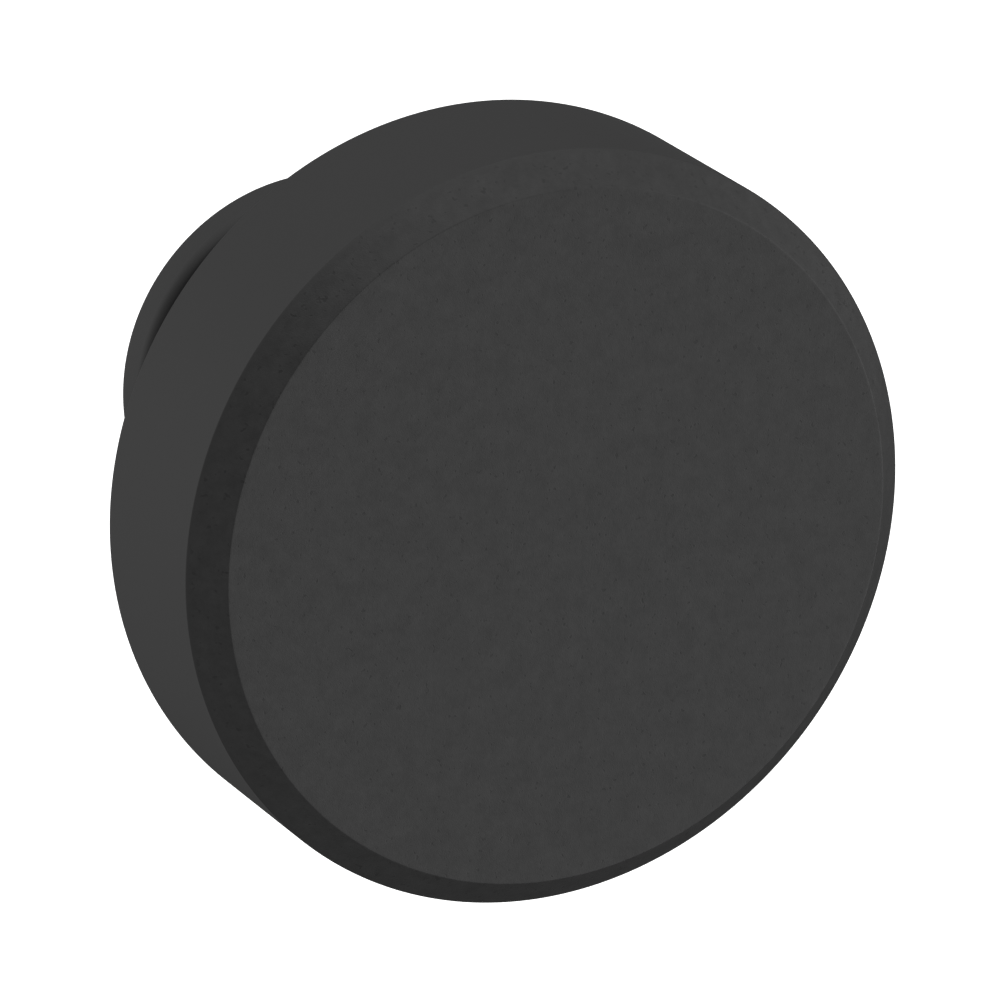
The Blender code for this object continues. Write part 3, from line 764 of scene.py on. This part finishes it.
stem = {
    "footRim": 2.2, "footRound": 0.8, "footLedge": 1.6, "fillet": 1.8, "filletEnd": 70, "waistHeight": 12.5,
    "edge": 0.2, "headHole": 3.8, "plugHole": 6.2, "plugDepth": 1.9, "plugEdge": 0.15, "headFloor": 13.8,
    "footHole": 5.5, "footFloor": 12.2, "ringDepth": 0.9, "ringGap": 0.2, "ringEdge": 0.1,
    "dowelHole": 1.1, "dowelHoleDepth": 4.75, "sideSteps": 40, "roundSteps": 10, "steps": 192,
}
footRing = {
    "inner": 7.1, "edge": 0.15, "grooves": 3, "grooveWidth": 0.5, "grooveDepth": 0.3, "grooveEdge": 0.08,
    "steps": 160,
}
footInsert = {
    "bore": 3.4, "threadDepth": 0.5, "pitch": 1.25, "mouth": 0.5, "groove": 0.5, "chamfer": 0.3,
    "teeth": 36, "knurl": 0.3,
}
headInsert = {
    "bore": 2.45, "threadDepth": 0.3, "pitch": 0.8, "mouth": 0.4, "groove": 0.4, "chamfer": 0.3,
    "teeth": 28, "knurl": 0.25,
}
stemScrew = {
    "head": 4.6, "headEdge": 0.15, "headHeight": 2.2, "rim": 0.25, "rimEdge": 0.1, "neck": 0.3,
    "core": 2.05, "thread": 0.32, "pitch": 0.8, "plain": 0.4, "tip": 0.4,
    "socket": 1.75, "socketDepth": 1.6, "steps": 64,
}
stemDowel = {"edge": 0.2, "steps": 48}


def makeStem():
    size, at, ring = stem, measure("stem"), measure("foot_ring")
    # the foot's round edge, its ledge, a fillet, and one long hollow arc up to the head
    ledgeRadius, ledgeHeight = at["radius"] - size["footLedge"], size["footRim"] + size["footRound"]
    tilt = math.radians(size["filletEnd"])
    lowRadius = ledgeRadius - size["fillet"] * math.sin(tilt)
    lowHeight = ledgeHeight + size["fillet"] * (1 - math.cos(tilt))
    sweep = (size["waistHeight"] - lowHeight) / math.cos(tilt)
    middle = (lowRadius + sweep * math.sin(tilt), size["waistHeight"])
    topTurn = 180 - math.degrees(math.asin((at["top"] - size["waistHeight"]) / sweep))
    lowTurn = 270 - size["filletEnd"]
    filletMiddle = (ledgeRadius, ledgeHeight + size["fillet"])
    edgeMiddle = (at["radius"] - size["footRound"], size["footRim"])
    side = arcPoints(middle, sweep, topTurn, lowTurn, size["sideSteps"])
    side += arcPoints(filletMiddle, size["fillet"], lowTurn, 270, size["roundSteps"])[1:]
    side += arcPoints(edgeMiddle, size["footRound"], 90, 0, size["roundSteps"])
    ringIn, ringOut = footRing["inner"] - size["ringGap"], ring["radius"] + size["ringGap"]
    foot = rounded([
        (at["radius"], size["footRim"], 0),
        (at["radius"], 0, size["edge"]),
        (ringOut, 0, size["ringEdge"]),
        (ringOut, size["ringDepth"], 0),
        (ringIn, size["ringDepth"], 0),
        (ringIn, 0, size["ringEdge"]),
        (size["footHole"], 0, size["ringEdge"]),
        (size["footHole"], size["footFloor"], 0),
        (0, size["footFloor"], 0),
    ], closed=False)[1:]
    head = rounded([
        (0, size["headFloor"], 0),
        (size["headHole"], size["headFloor"], 0),
        (size["headHole"], at["top"] - size["plugDepth"], 0),
        (size["plugHole"], at["top"] - size["plugDepth"], 0),
        (size["plugHole"], at["top"], size["plugEdge"]),
        (side[0][0], at["top"], 0),
    ], closed=False)[:-1]
    body = turned("stem", head + side + foot, False, absBlack, size["steps"])
    hole = prism(32, size["dowelHole"], at["top"] - size["dowelHoleDepth"], at["top"] + over)
    holes = roundACircle("dowelHoles", hole, 2, dowelPlace["circle"], 0, 0, absBlack)
    body = combine(body, [holes], "DIFFERENCE")
    showPiece("stemBody", body, absBlack, ["stem"])


def makeFootRing():
    size, at = footRing, measure("foot_ring")
    spacing = (at["radius"] - size["inner"]) / (size["grooves"] + 1)
    face = [(at["radius"], 0, size["edge"])]
    for i in range(size["grooves"], 0, -1):
        middle = size["inner"] + spacing * i
        grooveIn, grooveOut = middle - size["grooveWidth"] / 2, middle + size["grooveWidth"] / 2
        face += [
            (grooveOut, 0, size["grooveEdge"]), (grooveOut, size["grooveDepth"], 0),
            (grooveIn, size["grooveDepth"], 0), (grooveIn, 0, size["grooveEdge"]),
        ]
    outline = rounded([
        (at["radius"], at["top"], 0), *face, (size["inner"], 0, size["edge"]), (size["inner"], at["top"], 0),
    ], closed=True, guard=0.05)
    ring = turned("foot_ring", outline, True, rubber, size["steps"])
    showPiece("footRing", ring, rubber, ["foot_ring"])


def makeInsert(name, node, size):
    # a threaded insert: two knurled bands with a groove between, and a countersunk mouth at each end
    at = measure(node)
    top, bottom, radius = at["top"], at["bottom"], at["radius"]
    band = (top - bottom) / 3
    root, groove = radius - size["knurl"], radius - size["groove"]
    chamfer, mouth = size["chamfer"], size["mouth"]
    outline = [(root - chamfer, top, 0, 0)]
    outline += knurled(root, top - chamfer, top - band)
    outline += [(groove, top - band - chamfer, 0, 0), (groove, bottom + band + chamfer, 0, 0)]
    outline += knurled(root, bottom + band, bottom + chamfer)
    outline += [(root - chamfer, bottom, 0, 0), (size["bore"] + mouth, bottom, 0, 0)]
    outline += threaded(size["bore"] + size["threadDepth"], bottom + mouth, top - mouth, size["pitch"])
    outline += [(size["bore"] + mouth, top, 0, 0)]
    steps = size["teeth"] * 6  # six to a tooth of the knurl
    mesh = turned(
        name, outline, True, brass, steps, size["pitch"], -size["threadDepth"],
        size["teeth"], math.tau * radius / size["teeth"], size["knurl"],
    )
    showPiece(name, mesh, brass, [node], sharpAngle=25)


def makeStemScrew():
    size, at = stemScrew, measure("stem_screw")
    neck = at["top"] - size["headHeight"]
    outline = rounded([
        (0, at["top"], 0),
        (size["head"], at["top"], size["headEdge"]),
        (size["head"], at["top"] - size["rim"], size["rimEdge"]),
        (size["core"] + size["thread"], neck, 0),
        (size["core"], neck - size["neck"], 0),
    ], closed=False, guard=0.03)
    outline += threaded(size["core"], neck - size["plain"], at["bottom"] + size["plain"], size["pitch"])
    outline += [(size["core"] - size["tip"], at["bottom"], 0, 0), (0, at["bottom"], 0, 0)]
    screw = turned("stem_screw", outline, False, zincSteel, size["steps"], size["pitch"], size["thread"])
    socket = prism(6, size["socket"], at["top"] - size["socketDepth"], at["top"] + over)
    screw = combine(screw, [socket], "DIFFERENCE")
    showPiece("stemScrew", screw, zincSteel, ["stem_screw"])


def makeDowels():
    size, at = stemDowel, dowelPlace
    outline = rounded([
        (0, at["top"], 0), (at["radius"], at["top"], size["edge"]),
        (at["radius"], at["bottom"], size["edge"]), (0, at["bottom"], 0),
    ], closed=False, guard=0.05)
    pin = turned("pin", outline, False, zincSteel, size["steps"])
    pins = roundACircle("pins", pin, 2, at["circle"], at["turn"], 0, zincSteel)
    showPiece("stemDowels", pins, zincSteel, ["stem_dowel_left", "stem_dowel_right"])


makeStem()
makeFootRing()
makeInsert("footInsert", "foot_insert", footInsert)
makeInsert("headInsert", "head_insert", headInsert)
makeStemScrew()
makeDowels()
print("stem and foot made")


yokeCup = {"wall": 1.2, "base": 1.5, "drawRadius": 1.2, "innerRadius": 0.3, "edge": 0.15, "steps": 128}
centreMagnet = {"edge": 0.35, "steps": 96}
ringMagnets = {"count": 8, "inner": 7.2, "outer": 14.2, "span": 38, "edge": 0.3}
magnetCage = {"inner": 6.2, "hub": 7.0, "rim": 14.4, "span": 39.8, "edge": 0.1, "steps": 128}
foamPad = {"inner": 6.0, "bulge": 0.18, "bulgeSteps": 8, "steps": 128}


def makeYokeCup():
    size, at = yokeCup, measure("yoke_cup")
    inner = at["radius"] - size["wall"]
    cup = turned("yoke_cup", rounded([
        (0, at["bottom"] + size["base"], 0),
        (inner, at["bottom"] + size["base"], size["innerRadius"]),
        (inner, at["top"], size["edge"]),
        (at["radius"], at["top"], size["edge"]),
        (at["radius"], at["bottom"], size["drawRadius"]),
        (0, at["bottom"], 0),
    ], closed=False, steps=6), False, zincSteel, size["steps"])
    showPiece("yokeCup", cup, zincSteel, ["yoke_cup"])


def makeMagnets():
    size, at = centreMagnet, measure("centre_magnet")
    outline = rounded([
        (0, at["top"], 0), (at["radius"], at["top"], size["edge"]),
        (at["radius"], at["bottom"], size["edge"]), (0, at["bottom"], 0),
    ], closed=False)
    disc = turned("centre_magnet", outline, False, nickel, size["steps"])
    showPiece("centreMagnet", disc, nickel, ["centre_magnet"])
    size = ringMagnets
    block = sectorBlock(size["inner"], size["outer"], size["span"], at["bottom"], at["top"], size["edge"])
    blocks = roundACircle("ring_magnets", block, size["count"], 0, 0, 0, nickel)
    nodes = [f"ring_magnet_{i + 1}" for i in range(size["count"])]
    showPiece("ringMagnets", blocks, nickel, nodes)


def makeMagnetCage():
    size, at = magnetCage, measure("magnet_cage")
    outline = rounded([
        (at["radius"], at["top"], size["edge"]), (at["radius"], at["bottom"], size["edge"]),
        (size["inner"], at["bottom"], size["edge"]), (size["inner"], at["top"], size["edge"]),
    ], closed=True, guard=0.05)
    cage = turned("magnet_cage", outline, True, nylon, size["steps"])
    pocket = sectorBlock(size["hub"], size["rim"], size["span"], at["bottom"] - over, at["top"] + over)
    pockets = roundACircle("pockets", pocket, ringMagnets["count"], 0, 0, 0, nylon)
    cage = combine(cage, [pockets], "DIFFERENCE")
    showPiece("magnetCage", cage, nylon, ["magnet_cage"])


def makeFoamPad():
    # squeezed flat between plate and yoke, its cut sides bulging a little between their edges
    size, at = foamPad, measure("foam_pad")
    half, middle = (at["top"] - at["bottom"]) / 2, (at["top"] + at["bottom"]) / 2
    outline = []
    for side in (1, -1):  # the outer side downwards, then the inner side upwards
        edge = at["radius"] - size["bulge"] if side > 0 else size["inner"] + size["bulge"]
        for i in range(size["bulgeSteps"] + 1):
            turn = math.radians(90 - 180 * i / size["bulgeSteps"]) * side
            out, up = side * size["bulge"] * math.cos(turn), half * math.sin(turn)
            outline.append((edge + out, middle + up, 0, 0))
    pad = turned("foam_pad", outline, True, foam, size["steps"])
    piece = showPiece("foamPad", pad, foam, ["foam_pad"], sharpAngle=60)


makeYokeCup()
makeMagnets()
makeMagnetCage()
makeFoamPad()
print("magnet pack made")


stage = {"floorDepth": 350, "floorWidth": 30000, "floorColour": "#ffffff", "floorRoughness": 0.9}
lightTent = {
    "fill": 0.01,  # the light between the panels
    "panels": [  # degrees: where a lit panel stands, half its width, and how soft its edge is
        {"azimuth": 74, "elevation": 79, "half": 29, "soft": 57, "strength": 1.40},  # overhead
        {"azimuth": -20, "elevation": 58, "half": 14, "soft": 18, "strength": 0.57},  # overhead, in front
        {"azimuth": -119, "elevation": 10, "half": 31, "soft": 67, "strength": 1.06},  # left, behind
        {"azimuth": -172, "elevation": -40, "half": 20, "soft": 22, "strength": 0.07},  # low, behind
        {"azimuth": 58, "elevation": -7, "half": 40, "soft": 13, "strength": 0.84},  # right, in front
        {"azimuth": 36, "elevation": -11, "half": 60, "soft": 33, "strength": 0.32},  # round the right one
        {"azimuth": -35, "elevation": -57, "half": 14, "soft": 90, "strength": 0.53},  # from below, very soft
        {"azimuth": 135, "elevation": 0, "half": 40, "soft": 25, "strength": 0.05},  # right, behind
        {"azimuth": 152, "elevation": 3, "half": 18, "soft": 12, "strength": 0.06},  # inside the last one
    ],
}


def makeFloor():
    floor = bpy.data.meshes.new("floor")
    half, depth = stage["floorWidth"] / 2 * mm, -stage["floorDepth"] * mm
    corners = [(-half, -half, depth), (half, -half, depth), (half, half, depth), (-half, half, depth)]
    floor.from_pydata(corners, [], [(0, 1, 2, 3)])
    finish, _, shader, _ = newFinish("floor_paper_white", stage["floorColour"], stage["floorRoughness"])
    shader.inputs["Emission Color"].default_value = linear(stage["floorColour"])
    shader.inputs["Emission Strength"].default_value = 1.0
    floor.materials.append(finish)
    plane = bpy.data.objects.new("floor", floor)
    bpy.context.scene.collection.objects.link(plane)
    plane.visible_diffuse = False  # the tent alone lights the object
    plane.visible_glossy = False
    plane.visible_shadow = False


def makeLight():
    world = bpy.data.worlds.new("light_tent")
    world.use_nodes = True
    bpy.context.scene.world = world
    tree = world.node_tree
    tree.nodes.clear()
    towards = addNode(tree, "ShaderNodeTexCoord").outputs["Generated"]
    light = lightTent["fill"]
    for panel in lightTent["panels"]:
        a, e = math.radians(panel["azimuth"]), math.radians(panel["elevation"])
        aim = (math.sin(a) * math.cos(e), -math.cos(a) * math.cos(e), math.sin(e))
        facing = addNode(tree, "ShaderNodeVectorMath", {0: towards, 1: aim}, operation="DOT_PRODUCT")
        angle = addNode(tree, "ShaderNodeMath", {0: facing.outputs["Value"]}, operation="ARCCOSINE")
        lit = addNode(tree, "ShaderNodeMapRange", {
            "Value": angle.outputs[0],
            "From Min": math.radians(panel["half"] - panel["soft"]),
            "From Max": math.radians(panel["half"] + panel["soft"]),
            "To Min": panel["strength"], "To Max": 0.0,
        }, interpolation_type="SMOOTHSTEP").outputs[0]
        light = addNode(tree, "ShaderNodeMath", {0: lit, 1: light}, operation="ADD").outputs[0]
    tent = addNode(tree, "ShaderNodeBackground", {"Strength": light})
    paper = addNode(tree, "ShaderNodeBackground", {"Color": linear(stage["floorColour"])})
    seen = addNode(tree, "ShaderNodeLightPath").outputs["Is Camera Ray"]
    mix = addNode(tree, "ShaderNodeMixShader", {0: seen, 1: tent.outputs[0], 2: paper.outputs[0]})
    addNode(tree, "ShaderNodeOutputWorld", {0: mix.outputs[0]})
    bpy.context.scene.view_settings.view_transform = "Standard"


makeFloor()
makeLight()
print("stage made")
